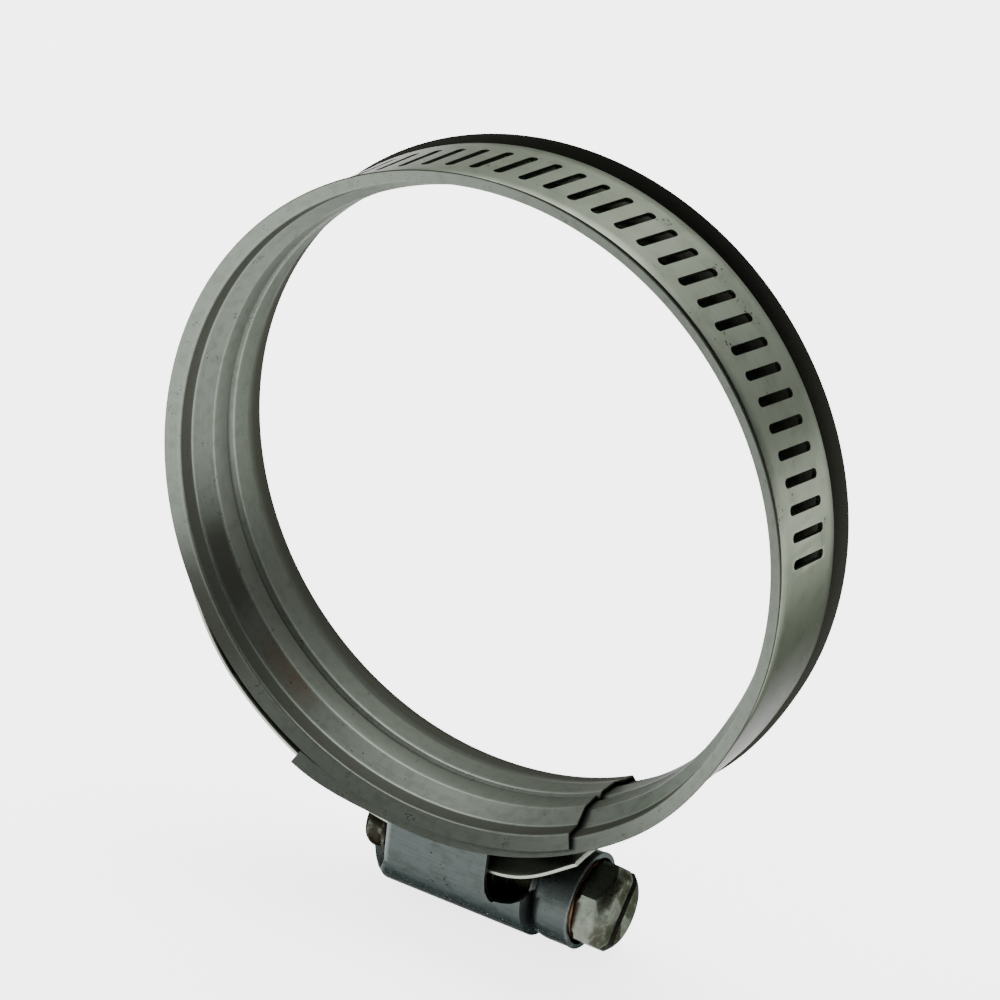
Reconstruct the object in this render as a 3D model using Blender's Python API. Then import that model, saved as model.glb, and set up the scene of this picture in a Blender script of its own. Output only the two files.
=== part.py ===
"""Worm-drive hose clamp with a beaded inner liner, standing on its screw housing.

The ring's axis lies along Y and the screw's along X, with the hex head at +X.
Z points up, and z = 0 is the lowest point of the housing. Lengths are in metres.
Angles of the ring are counted from +X up through +Z.
"""

import math

import bmesh
import bpy
import numpy as np
from mathutils import Matrix

MM = 0.001
DEG = math.pi / 180

# Overall sizes.
RIM_RADIUS = 39.0 * MM          # inner face of the liner's lips
BAND_WIDTH = 12.7 * MM
GAP = 0.3 * MM                  # between faces that touch

# Liner section, as a distance from the ring's middle and a radius of the inner face.
RIM_HALF_WIDTH = BAND_WIDTH / 2 + 2.15 * MM
LIP_HEIGHT = 1.5 * MM
LIP_LEAN = 0.9 * MM
STRIP_WIDTH = 2.15 * MM
STRIP_DROP = 0.25 * MM
SLOPE_WIDTH = 2.55 * MM
SLOPE_DROP = 1.15 * MM
PAD_DROP = 0.2 * MM
CREASE_HALF_WIDTH = 0.7 * MM
CREASE_RISE = 1.3 * MM
LINER_SHEET = 0.3 * MM

# Liner layout.
FREE_END = -61.5 * DEG
FREE_ROOT = -132.0 * DEG
LAP_ROOT = -20.0 * DEG
LAP_START = -22.0 * DEG
LAP_FULL = -50.0 * DEG
LAP_END = -116.0 * DEG
LAP_LIFT = LINER_SHEET + 0.48 * MM      # the lap stands this far off the layer inside it
LAP_LIFT_BELOW = LAP_LIFT + 0.47 * MM
LAP_LIFT_END = LAP_LIFT_BELOW + 1.25 * MM
LAP_SPREAD = 0.1 * MM           # the lips of the lap nest in those of the layer inside it

# Band.
BAND_SHEET = 0.6 * MM
BAND_RADIUS = RIM_RADIUS - LIP_HEIGHT + LINER_SHEET + 0.15 * MM
ANCHOR_END = -98.0 * DEG
SPIRAL_START = 190.0 * DEG
TAIL_ROOT = 228.0 * DEG
TAIL_END = -63.4 * DEG
SLOT_EDGE = 2.55 * MM           # from the end of a slot to the band's edge
SLOT_LENGTH = BAND_WIDTH - 2 * SLOT_EDGE
SLOT_WIDTH = 1.15 * MM
SLOT_MARGIN = 1.0 * MM
LAST_SLOT = 8.0 * DEG
LOOP_END = TAIL_ROOT - GAP / BAND_RADIUS

# The saddle lies over the anchored end of the band, and the tail over the saddle.
SADDLE_RADIUS = BAND_RADIUS + LAP_LIFT_BELOW + BAND_SHEET + 0.45 * MM
SADDLE_SHEET = 0.5 * MM
CHANNEL_GAP = 0.3 * MM
TAIL_RADIUS = SADDLE_RADIUS + SADDLE_SHEET + 0.55 * MM

# Worm, whose crest passes right through the slots of the tail.
PITCH = 3.0 * MM
WORM_RADIUS = 4.3 * MM
CREST_PAST = 0.2 * MM
SCREW_DROP = TAIL_RADIUS + WORM_RADIUS - CREST_PAST
WORM_CORE = SCREW_DROP - TAIL_RADIUS - BAND_SHEET - GAP
WORM_LEFT = -8.6 * MM
WORM_RIGHT = 9.0 * MM
THREAD_TIP = 0.15 * PITCH
THREAD_ROOT = 0.4 * PITCH
TIP_LEFT = WORM_LEFT - 2.5 * MM
TIP_RADIUS = WORM_CORE + 0.1 * MM
NECK_RADIUS = WORM_CORE - 0.6 * MM

# Housing.
HOUSING_SHEET = 0.65 * MM
BARREL_RADIUS = BAND_WIDTH / 2 + GAP + HOUSING_SHEET
BARREL_LEFT = -5.5 * MM
BARREL_RIGHT = WORM_RIGHT + 3.9 * MM
BARREL_SLANT = 2.2 * MM         # the left end reaches this much further at the bottom
WINDOW_LEFT = WORM_RIGHT - 0.8 * MM
WINDOW_DROP = 0.6 * MM

# Collar and head of the screw, with the bell of the housing round the collar.
COLLAR_RADIUS = 4.85 * MM
BELL_LEFT = BARREL_RIGHT + GAP
BELL_FLOOR = 0.7 * MM
COLLAR_LEFT = BELL_LEFT + BELL_FLOOR + 0.4 * MM
BELL_RIGHT = COLLAR_LEFT + 4.0 * MM
BELL_INNER = COLLAR_RADIUS + 0.35 * MM
BELL_RADIUS = BELL_INNER + 0.6 * MM
BELL_LIFT = 0.2 * MM            # the bell hangs this far above the lowest point of the barrel
HEX_LEFT = BELL_RIGHT + GAP
HEX_RIGHT = HEX_LEFT + 3.8 * MM
HEX_ACROSS_FLATS = 2 * COLLAR_RADIUS - 0.2 * MM
HEX_CHAMFER = 0.5 * MM
HEX_TURN = 24.0 * DEG
DRIVER_WIDTH = 1.2 * MM
DRIVER_DEPTH = 1.2 * MM
DRIVER_TURN = 36.0 * DEG

SCREW_Z = BELL_RADIUS + BELL_LIFT
RING_Z = SCREW_Z + SCREW_DROP
BARREL_Z = BARREL_RADIUS

STRIP_COLOUR = (0.20, 0.21, 0.19)
BAND_COLOUR = (0.35, 0.37, 0.32)
HOUSING_COLOUR = (0.13, 0.16, 0.16)
SCREW_COLOUR = (0.17, 0.20, 0.19)


def clear_scene():
    """Remove every object, so that the file starts empty."""
    for obj in list(bpy.data.objects):
        bpy.data.objects.remove(obj)


def finish(name, colour, roughness):
    """A metal finish."""
    made = bpy.data.materials.new(name)
    made.use_nodes = True
    shader = made.node_tree.nodes["Principled BSDF"]
    shader.inputs["Base Color"].default_value = (*colour, 1.0)
    shader.inputs["Roughness"].default_value = roughness
    shader.inputs["Metallic"].default_value = 1.0
    return made


def object_from(bm, name, material=None, closed=True):
    """Turn a bmesh into a named object. A closed one has its faces turned out."""
    if closed:
        bmesh.ops.recalc_face_normals(bm, faces=bm.faces)
    mesh = bpy.data.meshes.new(name)
    bm.to_mesh(mesh)
    bm.free()
    mesh.shade_smooth()
    mesh.set_sharp_from_angle(angle=30 * DEG)
    obj = bpy.data.objects.new(name, mesh)
    bpy.context.scene.collection.objects.link(obj)
    if material:
        mesh.materials.append(material)
    return obj


def boolean(obj, other, operation):
    """Join or cut another solid, which stays out of the model."""
    other.hide_render = True
    other.display_type = "WIRE"
    modifier = obj.modifiers.new(other.name, "BOOLEAN")
    modifier.operation = operation
    modifier.solver = "EXACT"
    modifier.object = other


def ease(start, end, value):
    """Run smoothly from 0 at start to 1 at end."""
    share = min(1.0, max(0.0, (value - start) / (end - start)))
    return share * share * (3.0 - 2.0 * share)


def lap_lift(angle):
    """How far the right side's strips stand off the ring, for the lap under it."""
    lift = LAP_LIFT * ease(-LAP_START, -LAP_FULL, -angle)
    lift += (LAP_LIFT_BELOW - LAP_LIFT) * ease(-LAP_FULL, 90 * DEG, -angle)
    return lift + (LAP_LIFT_END - LAP_LIFT_BELOW) * ease(96 * DEG, -LAP_END, -angle)


def tail_lift(angle):
    """How far the band stands off the ring where it leaves it for the housing."""
    return (TAIL_RADIUS - BAND_RADIUS) * ease(SPIRAL_START, TAIL_ROOT, angle)


def strip(name, start, end, step, section, material):
    """A sheet swept round the ring. The section gives the face towards the hose."""
    count = max(2, round(abs(end - start) / step))
    bm = bmesh.new()
    rows = []
    for angle in np.linspace(start, end, count + 1):
        rows.append([
            bm.verts.new((radius * math.cos(angle), across, RING_Z + radius * math.sin(angle)))
            for across, radius in section(angle)
        ])
    for one, other in zip(rows, rows[1:]):
        for corner in range(len(one) - 1):
            bm.faces.new((one[corner], one[corner + 1], other[corner + 1], other[corner]))
    return object_from(bm, name, material, closed=False)


def thicken(obj, thickness):
    """Give a sheet its thickness, away from the ring's middle."""
    solidify = obj.modifiers.new("Thickness", "SOLIDIFY")
    solidify.thickness = thickness
    solidify.offset = 1.0
    solidify.use_even_offset = True


def liner_section(lift, spread):
    """The liner's face towards the hose, from one lip to the other."""
    root = RIM_RADIUS - LIP_HEIGHT
    half = [(RIM_HALF_WIDTH + spread, RIM_RADIUS)]
    half.append((half[-1][0] - LIP_LEAN, root))
    half.append((half[-1][0] - STRIP_WIDTH, root - STRIP_DROP))
    half.append((half[-1][0] - SLOPE_WIDTH, half[-1][1] - SLOPE_DROP))
    half.append((CREASE_HALF_WIDTH, half[-1][1] - PAD_DROP))
    half.append((0.0, half[-1][1] + CREASE_RISE))
    points = half + [(-across, radius) for across, radius in half[-2::-1]]
    return [(across, radius + lift) for across, radius in points]


def inner_section(angle):
    """The liner where it bears on the hose. Its lips open a little towards its free end."""
    from_end = (FREE_END - angle) % (2 * math.pi)
    return liner_section(0.0, LAP_SPREAD * (1.0 - ease(60 * DEG, 110 * DEG, from_end)))


def lap_section(angle):
    """The liner from its right side to its outer end."""
    return liner_section(lap_lift(angle), -LAP_SPREAD * ease(-LAP_START, -LAP_FULL, -angle))


def liner(material):
    """The liner: its loop, its free end inside, and its end lapping under that."""
    step = 6.0 * DEG
    apart = GAP / RIM_RADIUS
    pieces = (
        ("liner_loop", 2 * math.pi + FREE_ROOT - apart, LAP_ROOT, inner_section),
        ("liner_free_end", FREE_END, FREE_ROOT, inner_section),
        ("liner_lap_end", LAP_ROOT - apart, LAP_END, lap_section),
    )
    for name, start, end, section in pieces:
        made = strip(name, start, end, step, section, material)
        thicken(made, LINER_SHEET)


def band_section(lift):
    """A function that gives the band's inner face at an angle."""
    def section(angle):
        radius = BAND_RADIUS + lift(angle)
        return [(BAND_WIDTH / 2, radius), (-BAND_WIDTH / 2, radius)]
    return section


def slot_angles(start, end):
    """The middles of the slots between two angles, one pitch apart along the band."""
    angles = []
    angle = LAST_SLOT
    while angle < end - SLOT_MARGIN / TAIL_RADIUS:
        if angle > start + SLOT_MARGIN / TAIL_RADIUS:
            angles.append(angle)
        angle += PITCH / (BAND_RADIUS + tail_lift(angle) + BAND_SHEET / 2)
    return angles


def slot_lean():
    """The slots lean as the thread does where it crosses the tail."""
    depth = SCREW_DROP - TAIL_RADIUS - BAND_SHEET / 2
    return math.atan(PITCH / (2 * math.pi * depth))


def slot_cutters(name, angles):
    """A round-ended cutter for each slot, square to the band."""
    lean = slot_lean()
    half = (SLOT_LENGTH - SLOT_WIDTH) / 2
    outline = []
    for side in (1, -1):
        for turn in np.linspace(0.0, math.pi, 4):
            along = side * math.cos(turn) * SLOT_WIDTH / 2
            across = side * (half + math.sin(turn) * SLOT_WIDTH / 2)
            outline.append((
                along * math.cos(lean) - across * math.sin(lean),
                along * math.sin(lean) + across * math.cos(lean),
            ))
    bm = bmesh.new()
    for angle in angles:
        middle = BAND_RADIUS + tail_lift(angle) + BAND_SHEET / 2
        rings = []
        for radius in (middle - BAND_SHEET, middle + BAND_SHEET):
            ring = []
            for along, across in outline:
                x = radius * math.cos(angle) - along * math.sin(angle)
                z = radius * math.sin(angle) + along * math.cos(angle)
                ring.append(bm.verts.new((x, across, RING_Z + z)))
            rings.append(ring)
        close_rings(bm, rings)
    return object_from(bm, name)


def close_rings(bm, rings):
    """Join rings of corners into one closed solid."""
    size = len(rings[0])
    for one, other in zip(rings, rings[1:]):
        for corner in range(size):
            after = (corner + 1) % size
            bm.faces.new((one[corner], one[after], other[after], other[corner]))
    bm.faces.new(rings[0])
    bm.faces.new(rings[-1][::-1])


def band(material):
    """The band: the end fixed in the housing, the loop, and the tail in the worm."""
    step = 6.0 * DEG
    anchor = strip("band_anchor_end", LAP_ROOT - GAP / BAND_RADIUS, ANCHOR_END, step,
                   band_section(lap_lift), material)
    thicken(anchor, BAND_SHEET)
    loop = strip("band_loop", LOOP_END, LAP_ROOT, step, band_section(tail_lift), material)
    thicken(loop, BAND_SHEET)
    boolean(loop, slot_cutters("loop_slots", slot_angles(LAP_ROOT, LOOP_END)), "DIFFERENCE")
    end = 2 * math.pi + TAIL_END
    tail = strip("band_tail", end, TAIL_ROOT, step, band_section(tail_lift), material)
    thicken(tail, BAND_SHEET)
    boolean(tail, slot_cutters("tail_slots", slot_angles(TAIL_ROOT, end)), "DIFFERENCE")


def turned(name, outline, segments, material=None):
    """A body turned about the screw's axis, from pairs of place along it and radius."""
    bm = bmesh.new()
    profile = [bm.verts.new((along, 0.0, radius)) for along, radius in outline]
    edges = [bm.edges.new(pair) for pair in zip(profile, profile[1:])]
    if outline[0][1] > 0.0:
        edges.append(bm.edges.new((profile[-1], profile[0])))
    bmesh.ops.spin(bm, geom=profile + edges, axis=(1.0, 0.0, 0.0), cent=(0.0, 0.0, 0.0),
                   angle=2 * math.pi, steps=segments, use_merge=True)
    bmesh.ops.remove_doubles(bm, verts=bm.verts, dist=1e-6)
    made = object_from(bm, name, material)
    made.location = (0.0, 0.0, SCREW_Z)
    return made


def crest_phase():
    """The thread's angle at x = 0 that brings its crest up into a slot of the tail."""
    places = []
    for angle in slot_angles(TAIL_ROOT, 2 * math.pi + TAIL_END):
        places.append((TAIL_RADIUS + BAND_SHEET / 2) * math.cos(angle))
    return 90 * DEG - 2 * math.pi * min(places, key=abs) / PITCH


def thread():
    """The worm's right-handed ridge, whose foot is sunk in the screw's core."""
    per_turn = 20
    length = WORM_RIGHT - WORM_LEFT - THREAD_ROOT
    count = int(length / PITCH * per_turn)
    sunk = WORM_CORE - 0.4 * MM
    bm = bmesh.new()
    rings = []
    for number in range(count + 1):
        along = WORM_LEFT + THREAD_ROOT / 2 + length * number / count
        angle = crest_phase() + 2 * math.pi * along / PITCH
        rise = min(1.0, (number + 1) / 6, (count - number + 1) / 6)
        crest = WORM_CORE + (WORM_RADIUS - WORM_CORE) * rise
        outline = (
            (-THREAD_ROOT / 2, sunk), (-THREAD_TIP / 2, crest),
            (THREAD_TIP / 2, crest), (THREAD_ROOT / 2, sunk),
        )
        rings.append([
            bm.verts.new((along + offset, radius * math.cos(angle), radius * math.sin(angle)))
            for offset, radius in outline
        ])
    close_rings(bm, rings)
    made = object_from(bm, "screw_thread")
    made.location = (0.0, 0.0, SCREW_Z)
    return made


def hexagon():
    """The head's hexagon, with its corners turned off at the end."""
    corner = HEX_ACROSS_FLATS / math.sqrt(3)
    bm = bmesh.new()
    bmesh.ops.create_cone(bm, cap_ends=True, segments=6, radius1=corner, radius2=corner,
                          depth=HEX_RIGHT - HEX_LEFT)
    turn = Matrix.Rotation(HEX_TURN, 3, "X") @ Matrix.Rotation(90 * DEG, 3, "Y")
    bmesh.ops.rotate(bm, verts=bm.verts, matrix=turn)
    bmesh.ops.translate(bm, verts=bm.verts, vec=((HEX_LEFT + HEX_RIGHT) / 2, 0.0, 0.0))
    head = object_from(bm, "screw_hexagon")
    head.location = (0.0, 0.0, SCREW_Z)
    reach = corner + 0.2 * MM
    flat = HEX_ACROSS_FLATS / 2 - 0.1 * MM
    trim = turned("screw_trim", [
        (HEX_LEFT - 1 * MM, 0.0), (HEX_LEFT - 1 * MM, reach), (HEX_RIGHT - HEX_CHAMFER, reach),
        (HEX_RIGHT + 0.05 * MM, flat), (HEX_RIGHT + 0.05 * MM, 0.0),
    ], 36)
    boolean(head, trim, "INTERSECT")
    return head


def driver_slot():
    """Cutter for the slot across the head's end face."""
    bm = bmesh.new()
    bmesh.ops.create_cube(bm, size=1.0)
    size = (2 * DRIVER_DEPTH, DRIVER_WIDTH, 2 * HEX_ACROSS_FLATS)
    bmesh.ops.scale(bm, verts=bm.verts, vec=size)
    bmesh.ops.rotate(bm, verts=bm.verts, matrix=Matrix.Rotation(-DRIVER_TURN, 3, "X"))
    bmesh.ops.translate(bm, verts=bm.verts, vec=(HEX_RIGHT, 0.0, 0.0))
    made = object_from(bm, "screw_driver_slot")
    made.location = (0.0, 0.0, SCREW_Z)
    return made


def screw(material):
    """The worm screw, whose origin is on its own axis."""
    body = turned("screw", [
        (TIP_LEFT, 0.0),
        (TIP_LEFT + 0.15 * MM, TIP_RADIUS - 1.2 * MM),
        (TIP_LEFT + 0.6 * MM, TIP_RADIUS - 0.4 * MM),
        (TIP_LEFT + 1.3 * MM, TIP_RADIUS),
        (WORM_LEFT, TIP_RADIUS),
        (WORM_LEFT + 0.1 * MM, WORM_CORE),
        (WORM_RIGHT, WORM_CORE),
        (WORM_RIGHT + 0.6 * MM, NECK_RADIUS),
        (COLLAR_LEFT, NECK_RADIUS),
        (COLLAR_LEFT, COLLAR_RADIUS),
        (HEX_LEFT - 0.5 * MM, COLLAR_RADIUS),
        (HEX_LEFT, COLLAR_RADIUS - 0.4 * MM),
        (HEX_LEFT + 0.4 * MM, COLLAR_RADIUS - 0.5 * MM),
        (HEX_LEFT + 0.4 * MM, 0.0),
    ], 32, material)
    boolean(body, thread(), "UNION")
    boolean(body, hexagon(), "UNION")
    boolean(body, driver_slot(), "DIFFERENCE")


def arch(name, radius, low, high, top, material=None):
    """A solid with a half-round bottom whose top follows the ring, swept along the screw."""
    bm = bmesh.new()
    rings = []
    for share in np.linspace(0.0, 1.0, 10):
        ring = []
        x = low + (high - low) * share
        under_top = RING_Z - math.sqrt(top * top - x * x)
        outline = [
            (radius * math.cos(turn), BARREL_Z + radius * math.sin(turn))
            for turn in np.linspace(-180 * DEG, 0.0, 17)
        ]
        outline += [(radius, under_top), (-radius, under_top)]
        for y, z in outline:
            low_share = 1.0 - min(1.0, max(0.0, z / BARREL_Z))
            ring.append(bm.verts.new((x - BARREL_SLANT * (1.0 - share) * low_share, y, z)))
        rings.append(ring)
    close_rings(bm, rings)
    return object_from(bm, name, material)


def box(name, low, high):
    """A block between two corners."""
    bm = bmesh.new()
    bmesh.ops.create_cube(bm, size=1.0)
    size = [end - start for start, end in zip(low, high)]
    bmesh.ops.scale(bm, verts=bm.verts, vec=size)
    bmesh.ops.translate(bm, verts=bm.verts, vec=[(a + b) / 2 for a, b in zip(low, high)])
    return object_from(bm, name)


def tail_channel():
    """Cutter that keeps the housing clear of the tail all along its path."""
    bm = bmesh.new()
    half = BAND_WIDTH / 2 + GAP
    inside = TAIL_RADIUS - CHANNEL_GAP
    outside = TAIL_RADIUS + BAND_SHEET + CHANNEL_GAP
    rings = []
    for angle in np.linspace(-115 * DEG, -55 * DEG, 13):
        ring = []
        for radius, across in ((inside, half), (inside, -half), (outside, -half), (outside, half)):
            x = radius * math.cos(angle)
            ring.append(bm.verts.new((x, across, RING_Z + radius * math.sin(angle))))
        rings.append(ring)
    close_rings(bm, rings)
    return object_from(bm, "housing_channel")


def housing(material):
    """The housing: a folded barrel with a saddle on top, and a bell round the screw's collar."""
    inner = BARREL_RADIUS - HOUSING_SHEET
    body = arch("housing", BARREL_RADIUS, BARREL_LEFT, BARREL_RIGHT, SADDLE_RADIUS, material)
    wide = 2 * BARREL_RADIUS
    channel = arch("housing_inside", inner, BARREL_LEFT - 0.5 * MM, BARREL_RIGHT - HOUSING_SHEET,
                   SADDLE_RADIUS + SADDLE_SHEET)
    boolean(body, channel, "DIFFERENCE")
    window = box("housing_window", (WINDOW_LEFT, -wide, SCREW_Z - WINDOW_DROP),
                 (BELL_RIGHT, wide, RING_Z))
    boolean(body, window, "DIFFERENCE")
    hole = NECK_RADIUS + GAP
    bell = turned("housing_bell", [
        (BARREL_RIGHT - HOUSING_SHEET, hole),
        (BARREL_RIGHT - HOUSING_SHEET, BELL_RADIUS - 0.7 * MM),
        (BELL_LEFT, BELL_RADIUS - 0.9 * MM),
        (BELL_LEFT + 0.35 * MM, BELL_RADIUS - 0.35 * MM),
        (BELL_LEFT + 1.2 * MM, BELL_RADIUS),
        (BELL_RIGHT - 0.1 * MM, BELL_RADIUS),
        (BELL_RIGHT, BELL_RADIUS - 0.1 * MM),
        (BELL_RIGHT, BELL_INNER),
        (BELL_LEFT + BELL_FLOOR, BELL_INNER),
        (BELL_LEFT + BELL_FLOOR, hole),
    ], 36)
    boolean(body, bell, "UNION")
    bore = turned("housing_bore", [
        (BARREL_RIGHT - 1 * MM, 0.0), (BARREL_RIGHT - 1 * MM, hole),
        (BELL_LEFT + 1 * MM, hole), (BELL_LEFT + 1 * MM, 0.0),
    ], 36)
    boolean(body, bore, "DIFFERENCE")
    boolean(body, tail_channel(), "DIFFERENCE")


def build():
    """Make every piece of the clamp."""
    clear_scene()
    liner(finish("liner_strip", STRIP_COLOUR, 0.40))
    band(finish("band_strip", BAND_COLOUR, 0.38))
    housing(finish("housing_steel", HOUSING_COLOUR, 0.45))
    screw(finish("screw_steel", SCREW_COLOUR, 0.40))


build()
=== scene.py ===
"""Studio scene of a lined worm-drive hose clamp, standing on its screw housing.

Lengths are in metres unless a name ends in _mm. The ring's axis is Y, the screw's is X, and
angles round the ring are in degrees, counted from +X up through +Z.
"""

import logging
import math
from dataclasses import dataclass, field
from enum import Enum
from typing import Any, Callable

import bmesh
import bpy
import numpy as np
from mathutils import Matrix, Vector


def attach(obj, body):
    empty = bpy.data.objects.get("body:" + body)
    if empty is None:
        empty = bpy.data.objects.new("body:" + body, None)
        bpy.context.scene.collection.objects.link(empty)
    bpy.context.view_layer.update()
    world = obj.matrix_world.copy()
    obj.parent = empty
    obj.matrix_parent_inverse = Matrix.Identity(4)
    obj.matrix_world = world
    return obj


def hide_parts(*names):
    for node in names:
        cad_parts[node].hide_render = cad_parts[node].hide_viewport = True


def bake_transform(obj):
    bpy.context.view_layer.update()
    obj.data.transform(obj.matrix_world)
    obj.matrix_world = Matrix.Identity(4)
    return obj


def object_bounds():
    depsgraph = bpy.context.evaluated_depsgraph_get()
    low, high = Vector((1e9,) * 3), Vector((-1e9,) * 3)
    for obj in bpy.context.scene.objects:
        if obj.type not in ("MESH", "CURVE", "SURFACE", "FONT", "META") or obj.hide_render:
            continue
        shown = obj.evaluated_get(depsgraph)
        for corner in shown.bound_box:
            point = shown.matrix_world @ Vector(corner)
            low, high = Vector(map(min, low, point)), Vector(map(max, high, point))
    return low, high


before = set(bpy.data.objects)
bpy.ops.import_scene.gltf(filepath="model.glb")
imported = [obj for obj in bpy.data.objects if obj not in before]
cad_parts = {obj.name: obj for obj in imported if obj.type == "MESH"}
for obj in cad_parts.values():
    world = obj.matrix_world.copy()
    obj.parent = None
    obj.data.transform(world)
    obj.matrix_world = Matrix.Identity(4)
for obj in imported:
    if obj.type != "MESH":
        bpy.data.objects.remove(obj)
CAD_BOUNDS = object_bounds()

LOG = logging.getLogger("hose_clamp")
MM = 0.001
RING_MIDDLE = Vector((0.0, 0.0, 0.0514))
SCREW_MIDDLE = Vector((0.0, 0.0, 0.0060))
LENGTH_RADIUS_MM = 38.0         # where a strip's length is measured
TAIL_MIDDLE_MM = 41.6           # radius at the middle of the tail's sheet

# Ends and cuts of the strips round the ring, in degrees.
RIGHT_CUT = -20.0
LINER_LEFT_CUT = 228.0
LINER_FREE_END = 298.5
LINER_LAP_END = -116.0
BAND_LEFT_CUT = 227.3
BAND_ANCHOR_END = -98.0
FIRST_SLOT = 8.0

TUCKED_SHADE = "#100f0c"                # painted shade, near black, for faces tucked out of the light

SectionPoint = tuple[float, float, float]
Outline = list[tuple[float, float]]


class Body(Enum):
    """The rigid bodies of the clamp, as the frame names them."""

    FIXED = "frame"
    DRAWN = "drawn_strip"
    WORM = "worm"


class Slot(Enum):
    """The record's material slots."""

    LINER = "liner_strip"
    BAND = "band_strip"
    HOUSING = "housing_steel"
    SCREW = "screw_steel"


def linear(code: str) -> tuple[float, float, float, float]:
    """Turn an sRGB hex colour into linear RGBA.

    Args:
        code: the colour, such as "#7c827c".

    Returns:
        Its linear red, green, blue and an alpha of one.
    """
    channels = [int(code[place : place + 2], 16) / 255 for place in (1, 3, 5)]
    curved = [c / 12.92 if c <= 0.04045 else ((c + 0.055) / 1.055) ** 2.4 for c in channels]
    return (curved[0], curved[1], curved[2], 1.0)


def ease(start: float, end: float, value: float) -> float:
    """Run smoothly from 0 to 1.

    Args:
        start: the value that gives 0.
        end: the value that gives 1.
        value: where to read the curve.

    Returns:
        The share between 0 and 1.
    """
    share = min(1.0, max(0.0, (value - start) / (end - start)))
    return share * share * (3.0 - 2.0 * share)


def node(
    tree: bpy.types.NodeTree,
    kind: str,
    settings: dict[str, Any] | None = None,
    inputs: dict[Any, Any] | None = None,
) -> bpy.types.Node:
    """Add a shader node.

    Args:
        tree: the node tree that gets it.
        kind: the node's type name, without its "ShaderNode" prefix.
        settings: the node's own properties.
        inputs: a value or a linked socket for each input, by name or number.

    Returns:
        The new node.
    """
    made = tree.nodes.new("ShaderNode" + kind)
    for name, value in (settings or {}).items():
        setattr(made, name, value)
    for name, value in (inputs or {}).items():
        if isinstance(value, bpy.types.NodeSocket):
            tree.links.new(value, made.inputs[name])
        else:
            made.inputs[name].default_value = value
    return made


def ramp(
    tree: bpy.types.NodeTree, source: bpy.types.NodeSocket, low: float, high: float
) -> bpy.types.NodeSocket:
    """Stretch part of a value's range over 0 to 1.

    Args:
        tree: the node tree.
        source: the value.
        low: what becomes 0.
        high: what becomes 1.

    Returns:
        The stretched value.
    """
    inputs = {"Value": source, "From Min": low, "From Max": high}
    return node(tree, "MapRange", {"interpolation_type": "SMOOTHSTEP"}, inputs).outputs[0]


def blend_colour(
    tree: bpy.types.NodeTree,
    share: bpy.types.NodeSocket | float,
    first: Any,
    second: Any,
    mode: str = "MIX",
) -> bpy.types.NodeSocket:
    """Mix two colours.

    Args:
        tree: the node tree.
        share: how much of the second colour.
        first: the first colour, or its socket.
        second: the second colour, or its socket.
        mode: the way of mixing.

    Returns:
        The mixed colour.
    """
    settings = {"data_type": "RGBA", "blend_type": mode}
    return node(tree, "Mix", settings, {0: share, 6: first, 7: second}).outputs[2]


def scaled(
    tree: bpy.types.NodeTree, source: bpy.types.NodeSocket, factor: float
) -> bpy.types.NodeSocket:
    """Multiply a value.

    Args:
        tree: the node tree.
        source: the value.
        factor: what to multiply it by.

    Returns:
        The product.
    """
    return node(tree, "Math", {"operation": "MULTIPLY"}, {0: source, 1: factor}).outputs[0]


@dataclass(frozen=True)
class Zone:
    """A stretch along X or Z where a solid's surface takes another colour."""

    axis: int
    low_mm: float
    high_mm: float
    colour: str
    share: float
    soft_mm: float = 0.3


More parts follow.
